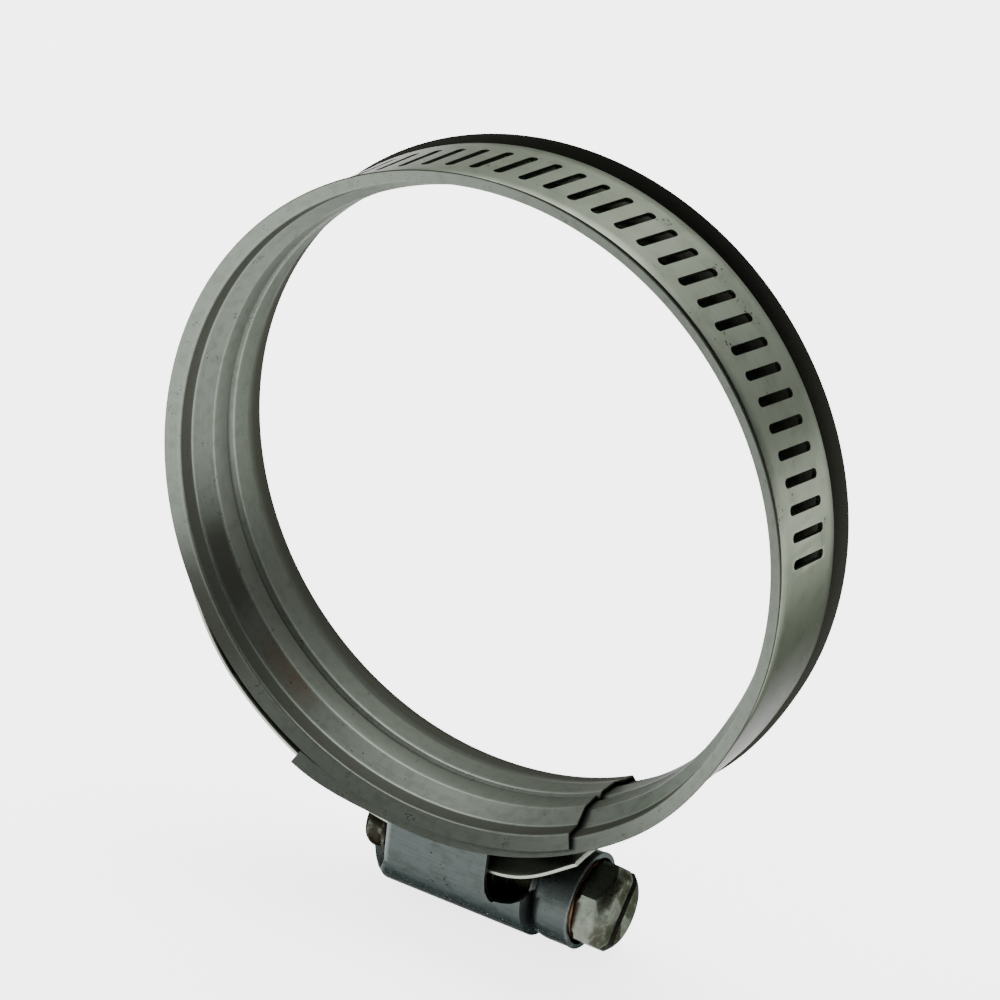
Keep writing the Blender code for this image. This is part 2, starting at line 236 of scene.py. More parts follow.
@dataclass(frozen=True)
class Finish:
    """A weathered metal surface, with its patterns sized in millimetres."""

    name: str
    colour: str
    stain: str
    speck: str
    roughness: float
    roughness_spread: float
    stain_share: float
    stain_mm: float
    speck_mm: float
    speck_share: float
    scratch_mm: tuple[float, float]
    grain_mm: float
    relief: float
    # Colour for grime and for painted shade.
    grime_and_light: str
    edge: str
    edge_share: float
    on_strip: bool
    grazing: float = 0.35
    tint_colour: str = "#5a3519"
    zones: tuple["Zone", ...] = ()

    def place(self, tree: bpy.types.NodeTree) -> bpy.types.NodeSocket:
        """Find the pattern's coordinates in millimetres.

        Args:
            tree: the material's node tree.

        Returns:
            The strip's own length and width on a strip, or the place in space on a solid.
        """
        if self.on_strip:
            return node(tree, "UVMap", {"uv_map": "strip_mm"}).outputs[0]
        where = node(tree, "TexCoord").outputs["Object"]
        inputs = {"Scale": (1 / MM,) * 3, "Vector": where}
        return node(tree, "Mapping", None, inputs).outputs[0]

    def noise(
        self, tree: bpy.types.NodeTree, where: bpy.types.NodeSocket, size: Any, detail: float
    ) -> bpy.types.NodeSocket:
        """Make noise whose blotches have a size in millimetres.

        Args:
            tree: the material's node tree.
            where: the pattern's coordinates.
            size: the blotch's size, or its length and width.
            detail: how many finer layers it has.

        Returns:
            The noise, about 0 to 1.
        """
        along, across = size if isinstance(size, tuple) else (size, size)
        inputs = {"Vector": where, "Scale": (1 / along, 1 / across, 1 / across)}
        placed = node(tree, "Mapping", None, inputs).outputs[0]
        return node(
            tree, "TexNoise", None, {"Vector": placed, "Scale": 1.0, "Detail": detail}
        ).outputs[0]

    def zoned(
        self, tree: bpy.types.NodeTree, colour: bpy.types.NodeSocket, patch: bpy.types.NodeSocket
    ) -> bpy.types.NodeSocket:
        """Lay a strip's tint (brown on the liner, painted shade on the band) or a solid's zones over a
        colour.

        Args:
            tree: the material's node tree.
            colour: the colour so far.
            patch: noise that breaks a zone up.

        Returns:
            The new colour.
        """
        if self.on_strip:
            brown = node(tree, "Attribute", {"attribute_name": "tint"}).outputs["Fac"]
            return blend_colour(tree, brown, colour, linear(self.tint_colour))
        where = node(tree, "TexCoord").outputs["Object"]
        along = node(tree, "SeparateXYZ", None, {0: where})
        for zone in self.zones:
            place = along.outputs[zone.axis]
            soft = zone.soft_mm
            low = ramp(tree, place, (zone.low_mm - soft) * MM, (zone.low_mm + soft) * MM)
            high = ramp(tree, place, (zone.high_mm + soft) * MM, (zone.high_mm - soft) * MM)
            inside = node(tree, "Math", {"operation": "MULTIPLY"}, {0: low, 1: high}).outputs[0]
            broken = node(
                tree, "Math", {"operation": "MULTIPLY"}, {0: inside, 1: ramp(tree, patch, 0.25, 0.5)}
            ).outputs[0]
            colour = blend_colour(tree, scaled(tree, broken, zone.share), colour, linear(zone.colour))
        return colour

    def make(self) -> bpy.types.Material:
        """Build the material.

        Returns:
            The material, with one Principled shader.
        """
        material = bpy.data.materials.new(self.name)
        material.use_nodes = True
        tree = material.node_tree
        shader = tree.nodes["Principled BSDF"]
        shader.inputs["Metallic"].default_value = 1.0
        shader.inputs["Specular Tint"].default_value = (self.grazing,) * 3 + (1.0,)
        where = self.place(tree)
        stain = ramp(tree, self.noise(tree, where, self.stain_mm, 5.0), 0.46, 0.68)
        colour = blend_colour(
            tree, scaled(tree, stain, self.stain_share), linear(self.colour), linear(self.stain)
        )
        scratch = self.noise(tree, where, self.scratch_mm, 2.0)
        colour = blend_colour(
            tree, scaled(tree, ramp(tree, scratch, 0.35, 0.75), 0.35), colour,
            linear(self.edge), "SOFT_LIGHT",
        )
        dots = node(
            tree, "TexVoronoi", None,
            {"Vector": where, "Scale": 1 / self.speck_mm, "Randomness": 1.0},
        )
        size = ramp(tree, self.noise(tree, where, self.speck_mm * 6, 2.0), 0.5, 0.7)
        inside = node(
            tree, "Math", {"operation": "SUBTRACT"},
            {0: scaled(tree, size, self.speck_share), 1: dots.outputs["Distance"]},
        ).outputs[0]
        specks = ramp(tree, inside, 0.0, 0.08)
        colour = blend_colour(tree, scaled(tree, specks, 0.8), colour, linear(self.speck))
        # The vertex value read here: 0 to 1 darkens with grime and painted shade, above 1 with
        # near-black painted shade, below 0 brightens as painted highlight.
        told = node(tree, "Attribute", {"attribute_name": "grime_and_light"}).outputs["Fac"]
        grime_light_mark = ramp(tree, told, 0.0, 1.0)
        patch = self.noise(tree, where, self.stain_mm * 0.5, 4.0)
        grime_light_mark = node(
            tree, "Math", {"operation": "MULTIPLY"}, {0: grime_light_mark, 1: ramp(tree, patch, -0.1, 0.35)}
        ).outputs[0]
        if not self.on_strip:
            # On solids, low pointiness adds painted shade in recesses and creases.
            recess_shade = ramp(tree, node(tree, "NewGeometry").outputs["Pointiness"], 0.49, 0.43)
            grime_light_mark = node(tree, "Math", {"operation": "MAXIMUM"}, {0: grime_light_mark, 1: recess_shade}).outputs[0]
        colour = blend_colour(tree, grime_light_mark, colour, linear(self.grime_and_light))
        # Values above 1 lay near-black painted shade on the liner's outer face, tucked against the band.
        colour = blend_colour(tree, ramp(tree, told, 1.0, 2.0), colour, linear(TUCKED_SHADE))
        colour = self.zoned(tree, colour, patch)
        # Edge brightening: on solids from pointiness, wear and painted highlight; on strips, painted
        # highlight where the section's value is below 0.
        worn_and_highlight = ramp(tree, node(tree, "NewGeometry").outputs["Pointiness"], 0.52, 0.62)
        if self.on_strip:
            worn_and_highlight = ramp(tree, told, 0.0, -1.0)
        colour = blend_colour(
            tree, scaled(tree, worn_and_highlight, self.edge_share), colour, linear(self.edge)
        )
        tree.links.new(colour, shader.inputs["Base Color"])
        grain = self.noise(tree, where, self.grain_mm, 4.0)
        spread = node(
            tree, "MapRange", None,
            {
                "Value": grain,
                "To Min": self.roughness - self.roughness_spread,
                "To Max": self.roughness + self.roughness_spread,
            },
        ).outputs[0]
        dull = node(tree, "Math", {"operation": "MULTIPLY_ADD"}, {0: grime_light_mark, 1: 0.3, 2: spread})
        tree.links.new(dull.outputs[0], shader.inputs["Roughness"])
        height = node(
            tree, "Math", {"operation": "MULTIPLY_ADD"}, {0: scratch, 1: 0.6, 2: grain}
        ).outputs[0]
        bump = node(
            tree, "Bump", None,
            {"Strength": 1.0, "Distance": self.relief * MM, "Height": height},
        )
        tree.links.new(bump.outputs[0], shader.inputs["Normal"])
        return material


# Stainless steel strip, cold rolled and then beaded: satin, with a rolling grain along it.
LINER_STEEL = Finish(
    name="liner_cold_rolled_stainless", colour="#5b605a", stain="#4e514a", speck="#2b2a24",
    roughness=0.36, roughness_spread=0.12, stain_share=0.45, stain_mm=1.4, speck_mm=0.32,
    speck_share=0.36, scratch_mm=(7.0, 0.10), grain_mm=0.12, relief=0.012,
    grime_and_light="#33342f", edge="#989d96", edge_share=0.7, on_strip=True,
)

# Stainless steel strip, rolled, slotted by punching: a little brighter and smoother.
BAND_STEEL = Finish(
    name="band_rolled_stainless", colour="#6c7167", stain="#5c6057", speck="#24231f",
    roughness=0.34, roughness_spread=0.09, stain_share=0.5, stain_mm=3.5, speck_mm=0.6,
    speck_share=0.3, scratch_mm=(10.0, 0.13), grain_mm=0.16, relief=0.014,
    # Its tint colour, #1f211d, is painted shade laid on the band low on the right.
    grime_and_light="#1d1913", edge="#8d9188", edge_share=0.5, on_strip=True, tint_colour="#1f211d",
)

# Pressed carbon steel, zinc plated by electroplating and dulled: bluish grey and matt.
HOUSING_STEEL = Finish(
    name="housing_dull_zinc", colour="#3a3f3e", stain="#2e322d", speck="#1f1d1a",
    roughness=0.40, roughness_spread=0.12, stain_share=0.45, stain_mm=1.6, speck_mm=0.5,
    speck_share=0.4, scratch_mm=(4.0, 0.25), grain_mm=0.22, relief=0.02,
    grime_and_light="#15110c", edge="#8a918e", edge_share=0.3, on_strip=False,
    # The zone is painted shade: the housing turns darker towards its bottom, below 3.4 mm.
    zones=(Zone(2, -9.0, 3.4, "#14181a", 0.85, 2.8),),
)

# Cold-headed carbon steel, zinc plated, with brown rust where the plating has gone.
SCREW_STEEL = Finish(
    name="screw_worn_zinc", colour="#4a4f48", stain="#35342b", speck="#2a1e12",
    roughness=0.36, roughness_spread=0.12, stain_share=0.8, stain_mm=1.8, speck_mm=0.45,
    speck_share=0.5, scratch_mm=(1.2, 0.4), grain_mm=0.18, relief=0.02,
    grime_and_light="#20150b", edge="#8d938b", edge_share=0.15, on_strip=False,
    zones=(
        Zone(0, 17.9, 18.9, "#4a2c14", 0.85),
        # Painted shade on the screw's tip, from -12 to -7 mm.
        Zone(0, -12.0, -7.0, "#17140e", 0.92),
        Zone(0, 21.2, 24.0, "#26251f", 0.6, 0.5),
    ),
)


def finished(
    obj: bpy.types.Object, material: bpy.types.Material, sharp: float = 30.0
) -> bpy.types.Object:
    """Shade a piece and give it its material and slot.

    Args:
        obj: the piece.
        material: its material.
        sharp: the angle in degrees from which an edge stays sharp.

    Returns:
        The same piece.
    """
    obj.data.materials.clear()
    obj.data.materials.append(material)
    obj.data.shade_smooth()
    obj.data.set_sharp_from_angle(angle=math.radians(sharp))
    return obj


def object_from(bm: bmesh.types.BMesh, name: str) -> bpy.types.Object:
    """Turn a bmesh into an object with its faces pointing out.

    Args:
        bm: the shape, which is freed.
        name: the object's name.

    Returns:
        The object, linked to the scene.
    """
    bmesh.ops.recalc_face_normals(bm, faces=bm.faces)
    mesh = bpy.data.meshes.new(name)
    bm.to_mesh(mesh)
    bm.free()
    obj = bpy.data.objects.new(name, mesh)
    bpy.context.scene.collection.objects.link(obj)
    return obj


def apply_modifiers(obj: bpy.types.Object) -> None:
    """Keep the evaluated shape and drop the modifiers.

    Args:
        obj: the object to settle.
    """
    bpy.context.view_layer.update()
    graph = bpy.context.evaluated_depsgraph_get()
    mesh = bpy.data.meshes.new_from_object(obj.evaluated_get(graph))
    obj.modifiers.clear()
    obj.data = mesh


def combine(obj: bpy.types.Object, other: bpy.types.Object, operation: str) -> None:
    """Join or cut another solid at once, and remove that solid.

    Args:
        obj: the solid that changes.
        other: the solid to join or to cut away.
        operation: "UNION", "DIFFERENCE" or "INTERSECT".
    """
    modifier = obj.modifiers.new(other.name, "BOOLEAN")
    modifier.operation = operation
    modifier.solver = "EXACT"
    modifier.object = other
    apply_modifiers(obj)
    bpy.data.objects.remove(other)


def close_rings(bm: bmesh.types.BMesh, rings: list[list[bmesh.types.BMVert]]) -> None:
    """Join rings of corners into one closed solid.

    Args:
        bm: the mesh that holds them.
        rings: the rings, all with as many corners.
    """
    size = len(rings[0])
    for one, other in zip(rings, rings[1:]):
        for corner in range(size):
            after = (corner + 1) % size
            bm.faces.new((one[corner], one[after], other[after], other[corner]))
    bm.faces.new(rings[0])
    bm.faces.new(rings[-1][::-1])


def rounded(points: list[SectionPoint], radius: float, steps: int) -> list[SectionPoint]:
    """Round the inner corners of an open line.

    Args:
        points: the line's corners, each with a third value carried along.
        radius: the rounding's reach to each side of a corner.
        steps: how many points make a corner.

    Returns:
        The line with rounded corners.
    """
    made = [points[0]]
    for before, corner, after in zip(points, points[1:], points[2:]):
        middle = np.array(corner)
        ends = []
        for other in (np.array(before), np.array(after)):
            reach = float(np.linalg.norm((other - middle)[:2]))
            ends.append(middle + (other - middle) * min(0.45, radius / reach))
        for share in np.linspace(0.0, 1.0, steps):
            low = ends[0] + (middle - ends[0]) * share
            high = middle + (ends[1] - middle) * share
            made.append(tuple(low + (high - low) * share))
    return made + [points[-1]]


def beside(points: list[SectionPoint], distance: float) -> list[SectionPoint]:
    """Offset an open line, drawn from front to back, away from the hose.

    Args:
        points: the line's corners.
        distance: how far.

    Returns:
        The offset line.
    """
    line = np.array(points)
    steps = np.diff(line[:, :2], axis=0)
    steps /= np.linalg.norm(steps, axis=1)[:, None]
    normals = np.stack([-steps[:, 1], steps[:, 0]], axis=1)
    joined = np.concatenate([normals[:1], normals[:-1] + normals[1:], normals[-1:]])
    joined /= np.linalg.norm(joined, axis=1)[:, None]
    moved = line.copy()
    moved[:, :2] += joined * distance
    return [tuple(point) for point in moved]


@dataclass
class Strip:
    """A bent strip: a closed section swept round the ring."""

    name: str
    start: float
    end: float
    section: Callable[[float], list[SectionPoint]]
    step: float = 0.75
    tint: Callable[[float, float], float] = lambda angle, across: 0.0

    def angles(self) -> list[float]:
        """Choose the stations, with a short step at each end so that pieces join smoothly.

        Returns:
            The angles in degrees.
        """
        count = max(4, round(abs(self.end - self.start) / self.step))
        inside = np.linspace(self.start, self.end, count + 1)[1:-1]
        nudge = math.copysign(0.08, self.end - self.start)
        return [self.start, self.start + nudge, *inside, self.end - nudge, self.end]

    def build(self) -> bpy.types.Object:
        """Sweep the section.

        Returns:
            The strip, with its length and width in millimetres as its UV map.
        """
        bm = bmesh.new()
        grime_and_light = bm.verts.layers.float.new("grime_and_light")
        tint = bm.verts.layers.float.new("tint")
        place = bm.loops.layers.uv.new("strip_mm")
        rings = []
        where: dict[bmesh.types.BMVert, tuple[float, float]] = {}
        for angle in self.angles():
            turn = math.radians(angle)
            ring = []
            width = 0.0
            previous: tuple[float, float] | None = None
            for across, radius, grime_light_mark in self.section(angle):
                corner = bm.verts.new((
                    radius * math.cos(turn),
                    across,
                    RING_MIDDLE.z + radius * math.sin(turn),
                ))
                corner[grime_and_light] = grime_light_mark
                if previous:
                    width += math.hypot(across - previous[0], radius - previous[1]) / MM
                previous = (across, radius)
                where[corner] = (turn * LENGTH_RADIUS_MM, width)
                corner[tint] = self.tint(angle % 360.0, across / MM)
                ring.append(corner)
            rings.append(ring)
        close_rings(bm, rings)
        for face in bm.faces:
            for loop in face.loops:
                loop[place].uv = where[loop.vert]
        return object_from(bm, self.name)


def lap_lift(angle: float) -> float:
    """Find how far the right side's strips stand off the ring, for the lap under it.

    Args:
        angle: the place round the ring.

    Returns:
        The lift.
    """
    lift = 0.78 * MM * ease(22.0, 50.0, -angle)
    lift += 0.47 * MM * ease(50.0, 90.0, -angle)
    return lift + 1.25 * MM * ease(96.0, 116.0, -angle)


def tail_lift(angle: float) -> float:
    """Find how far the band stands off the ring on its way to the worm.

    Args:
        angle: the place round the ring.

    Returns:
        The lift.
    """
    return 3.35 * MM * ease(190.0, 228.0, angle)


@dataclass
class Liner:
    """The liner: a thin strip with turned-up lips, a bead and a crease along its middle."""

    finish: Finish = LINER_STEEL
    rim_radius: float = 39.0 * MM
    half_width: float = 8.5 * MM
    sheet: float = 0.22 * MM
    spread: float = 0.1 * MM
    pieces: list[bpy.types.Object] = field(default_factory=list)

    def section(self, lift: float, spread: float, angle: float = 90.0) -> list[SectionPoint]:
        """Draw the section at one place.

        Args:
            lift: how far it stands off the ring.
            spread: how much wider its lips stand.
            angle: the place round the ring, for the painted dark reflection on the lower left.

        Returns:
            The closed section: distance across, radius and a value for grime, painted shade and painted
                highlight.
        """
        root = self.rim_radius - 1.5 * MM
        edge = self.half_width + spread
        # Painted dark reflection on the lips and on the bead's slope, between about 194 and 240 degrees.
        lip = 0.2 + 0.6 * ease(196.0, 214.0, angle) * ease(240.0, 220.0, angle)
        slope = 0.9 * ease(194.0, 206.0, angle) * ease(230.0, 213.0, angle)
        # The third value: grime on the flats, painted shade in the crease (1.0), painted highlight on
        # the bends (below 0).
        front = [
            (-edge, self.rim_radius, lip),
            (0.78 * MM - edge, root + 0.2 * MM, lip),
            (0.9 * MM - edge, root, -0.4),
            (1.15 * MM - edge, root - 0.03 * MM, 0.8),
            (2.85 * MM - edge, root - 0.23 * MM, 0.75),
            (3.05 * MM - edge, root - 0.25 * MM, -0.4),
            (3.3 * MM - edge, root - 0.36 * MM, slope),
            (5.4 * MM - edge, root - 1.31 * MM, slope),
            (5.6 * MM - edge, root - 1.4 * MM, -0.15),
            (5.9 * MM - edge, root - 1.42 * MM, 0.45),
            (-0.25 * MM, root - 1.6 * MM, 0.6),
            (0.15 * MM, root - 1.05 * MM, 1.0),
        ]
        back = [
            (0.95 * MM, root - 1.6 * MM, -0.35),
            (1.3 * MM, root - 1.59 * MM, 0.45),
            (4.1 * MM, root - 1.52 * MM, 0.5),
            (edge - 2.3 * MM, root - 0.9 * MM, 0.8),
            (edge - 0.7 * MM, root - 0.75 * MM, 0.9),
            (edge, self.rim_radius, 0.4),
        ]
        line = [(across, radius + lift, grime_light_mark) for across, radius, grime_light_mark in front + back]
        inner = rounded(line, 0.16 * MM, 4)
        # The sheet's outer face takes near-black painted shade (1.35).
        outer = [(across, radius, 1.35) for across, radius, _ in beside(inner, self.sheet)]
        return inner + outer[::-1]

    def inner(self, angle: float) -> list[SectionPoint]:
        """Draw the section of the loop and the free end.

        Args:
            angle: the place round the ring.

        Returns:
            The closed section.
        """
        from_end = (LINER_FREE_END - angle % 360.0) % 360.0
        lift = 0.2 * MM * (1.0 - ease(0.0, 30.0, from_end))
        return self.section(lift, self.spread * (1.0 - ease(60.0, 110.0, from_end)), angle)

    def lap(self, angle: float) -> list[SectionPoint]:
        """Draw the section of the lapping end.

        Args:
            angle: the place round the ring.

        Returns:
            The closed section.
        """
        return self.section(lap_lift(angle), -self.spread * ease(22.0, 50.0, -angle))

    @staticmethod
    def tint(angle: float, across: float) -> float:
        """Find how brown the bead's front slope is.

        Args:
            angle: the place round the ring.
            across: the distance across the strip in millimetres.

        Returns:
            The share of brown.
        """
        along = ease(221.0, 229.0, angle) * ease(242.0, 236.0, angle)
        return 0.5 * along * ease(-5.4, -4.7, across) * ease(-2.8, -3.7, across)

    def build(self) -> None:
        """Make the strip's three lengths: the free end goes on the drawn strip, the lap on the frame."""
        material = self.finish.make()
        loop = Strip(
            "liner_loop_skin", LINER_LEFT_CUT, RIGHT_CUT, self.inner, tint=self.tint
        ).build()
        free = Strip(
            "liner_free_skin", LINER_FREE_END, LINER_LEFT_CUT, self.inner, tint=self.tint
        ).build()
        lap = Strip("liner_lap_skin", RIGHT_CUT, LINER_LAP_END, self.lap).build()
        for piece in (loop, free, lap):
            finished(piece, material, 40.0)
        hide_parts("liner_loop")
        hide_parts("liner_free_end")
        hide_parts("liner_lap_end")
        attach(free, Body.DRAWN.value)
        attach(lap, Body.FIXED.value)
        bend(loop)
        self.pieces = [loop, free, lap]


def bend(loop: bpy.types.Object) -> None:
    """Bake a loop's placement into its mesh.

    Args:
        loop: the strip's loop.
    """
    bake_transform(loop)


@dataclass
class Band:
    """The slotted band: its fixed end, its loop and its tail."""

    finish: Finish = BAND_STEEL
    radius: float = 38.15 * MM
    width: float = 12.7 * MM
    sheet: float = 0.55 * MM
    pitch: float = 3.0 * MM
    slot_length: float = 7.2 * MM
    slot_width: float = 1.1 * MM
    lean: float = math.radians(7.4)
    tail_end: float = 296.6
    off_middle: float = 0.85 * MM
    pieces: list[bpy.types.Object] = field(default_factory=list)

    @staticmethod
    def low_right_shade(angle: float, across: float) -> float:
        """Find how much painted shade darkens the band, most low on the right.

        Args:
            angle: the place round the ring, in degrees.
            across: the place across the band, in millimetres.

        Returns:
            The share of the dark colour.
        """
        up = (angle + 180.0) % 360.0 - 180.0
        return 0.75 * ease(22.0, -8.0, up) * ease(10.0, 5.0, abs(across))

    def shift(self, angle: float) -> float:
        """Find how far the loop lies towards the front of the liner.

        Args:
            angle: the place round the ring.

        Returns:
            The shift along Y.
        """
        return -self.off_middle * ease(RIGHT_CUT, 5.0, angle) * ease(226.0, 195.0, angle)

    def droop(self, angle: float) -> float:
        """Find how far the tail's edges hang below its middle beside the bell.

        Args:
            angle: the place round the ring.

        Returns:
            The drop at the very edge.
        """
        return 1.75 * MM * ease(268.0, 284.0, angle) * ease(299.0, 284.5, angle)

    def section(self, lift: float, shift: float, droop: float = 0.0) -> list[SectionPoint]:
        """Draw the section at one place, with its edges eased by rolling.

        Args:
            lift: how far it stands off the ring.
            shift: how far it lies along Y.
            droop: how far its edges hang below its middle.

        Returns:
            The closed section: distance across, radius and a value for grime, painted shade and painted
                highlight.
        """
        edge = self.width / 2
        inner = self.radius + lift
        outer = inner + self.sheet
        soft = 0.14 * MM
        # Values below 0 brighten the eased edges: wear and painted highlight.
        half = [
            (4.1 * MM, inner, 0.0),
            (4.9 * MM, inner, 0.0),
            (edge - soft, inner, -0.2),
            (edge, inner + soft, -0.8),
            (edge, outer - soft, -0.8),
            (edge - 0.3 * soft, outer - 0.3 * soft, -0.4),
            (edge - soft, outer, 0.1),
            (4.9 * MM, outer, 0.0),
            (4.1 * MM, outer, 0.0),
        ]
        line = half + [(-across, radius, grime_light_mark) for across, radius, grime_light_mark in half[::-1]]
        return [
            (across + shift, radius + droop * ease(3.9 * MM, edge, abs(across)), grime_light_mark)
            for across, radius, grime_light_mark in line
        ]

    def slot_angles(self) -> list[float]:
        """Place the slots one pitch apart along the band.

        Returns:
            The angles of their middles.
        """
        angles = []
        angle = FIRST_SLOT
        while angle < self.tail_end - 1.2:
            angles.append(angle)
            reach = self.radius + tail_lift(angle) + 0.3 * MM
            angle += math.degrees(self.pitch / reach)
        return angles

    def cutter(self, start: float, end: float) -> bpy.types.Object:
        """Make the cutter for the slots of one length of band.

        Args:
            start: the length's lower angle.
            end: its upper angle.

        Returns:
            A round-ended block for each slot.
        """
        half = (self.slot_length - self.slot_width) / 2
        outline = []
        for side in (1, -1):
            for turn in np.linspace(0.0, math.pi, 9):
                along = side * math.cos(turn) * self.slot_width / 2
                across = side * (half + math.sin(turn) * self.slot_width / 2)
                outline.append((
                    along * math.cos(self.lean) - across * math.sin(self.lean),
                    along * math.sin(self.lean) + across * math.cos(self.lean),
                ))
        bm = bmesh.new()
        for angle in self.slot_angles():
            if not start < angle < end:
                continue
            turn = math.radians(angle)
            middle = self.radius + tail_lift(angle) + self.sheet / 2
            rings = []
            for radius in (middle - self.sheet, middle + self.sheet):
                ring = []
                for along, across in outline:
                    x = radius * math.cos(turn) - along * math.sin(turn)
                    z = radius * math.sin(turn) + along * math.cos(turn)
                    ring.append(bm.verts.new((x, across + self.shift(angle), RING_MIDDLE.z + z)))
                rings.append(ring)
            close_rings(bm, rings)
        return object_from(bm, "slots")

    def build(self) -> None:
        """Make the strip's three lengths: the tail goes on the drawn strip, the fixed end on the frame.
        """
        material = self.finish.make()
        loop = Strip(
            "band_loop_skin", BAND_LEFT_CUT, RIGHT_CUT,
            lambda angle: self.section(tail_lift(angle), self.shift(angle)), tint=self.low_right_shade,
        ).build()
        tail = Strip(
            "band_tail_skin", self.tail_end, BAND_LEFT_CUT,
            lambda angle: self.section(tail_lift(angle), 0.0, self.droop(angle)),
        ).build()
        fixed = Strip(
            "band_anchor_skin", RIGHT_CUT, BAND_ANCHOR_END,
            lambda angle: self.section(lap_lift(angle), 0.0),
            tint=self.low_right_shade,
        ).build()
        combine(loop, self.cutter(0.0, BAND_LEFT_CUT), "DIFFERENCE")
        combine(tail, self.cutter(BAND_LEFT_CUT, self.tail_end), "DIFFERENCE")
        for piece in (loop, tail, fixed):
            finished(piece, material, 30.0)
        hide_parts("band_loop")
        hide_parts("band_tail")
        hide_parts("band_anchor_end")
        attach(tail, Body.DRAWN.value)
        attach(fixed, Body.FIXED.value)
        bend(loop)
        self.pieces = [loop, tail, fixed]


def lathe(name: str, outline: Outline, segments: int) -> bpy.types.Object:
    """Turn an outline about the screw's axis.

    Args:
        name: the object's name.
        outline: pairs of place along the screw and radius, in millimetres.
        segments: how many sides the solid has.

    Returns:
        The closed solid, in place.
    """
    bm = bmesh.new()
    profile = [bm.verts.new((along * MM, 0.0, radius * MM)) for along, radius in outline]
    edges = [bm.edges.new(pair) for pair in zip(profile, profile[1:])]
    if outline[0][1] > 0.0:
        edges.append(bm.edges.new((profile[-1], profile[0])))
    bmesh.ops.spin(
        bm, geom=profile + edges, axis=(1.0, 0.0, 0.0), cent=(0.0, 0.0, 0.0),
        angle=2 * math.pi, steps=segments, use_merge=True,
    )
    bmesh.ops.remove_doubles(bm, verts=bm.verts, dist=1e-6)
    bmesh.ops.translate(bm, verts=bm.verts, vec=SCREW_MIDDLE)
    return object_from(bm, name)


def block(name: str, low: Vector, high: Vector, turn: float = 0.0) -> bpy.types.Object:
    """Make a block between two corners, turned about the X axis through its middle.

    Args:
        name: the object's name.
        low: its lowest corner in millimetres.
        high: its highest corner in millimetres.
        turn: the turn in radians.

    Returns:
        The block.
    """
    bm = bmesh.new()
    bmesh.ops.create_cube(bm, size=1.0)
    bmesh.ops.scale(bm, verts=bm.verts, vec=(high - low) * MM)
    bmesh.ops.rotate(bm, verts=bm.verts, matrix=Matrix.Rotation(turn, 3, "X"))
    bmesh.ops.translate(bm, verts=bm.verts, vec=(high + low) * MM / 2)
    return object_from(bm, name)


def soften(obj: bpy.types.Object, width: float, angle: float = 35.0) -> None:
    """Round a solid's sharp edges.

    Args:
        obj: the solid.
        width: the rounding's width in millimetres.
        angle: the angle in degrees from which an edge is rounded.
    """
    bevel = obj.modifiers.new("rounding", "BEVEL")
    bevel.width = width * MM
    bevel.segments = 3
    bevel.limit_method = "ANGLE"
    bevel.angle_limit = math.radians(angle)
    bevel.use_clamp_overlap = True
    apply_modifiers(obj)


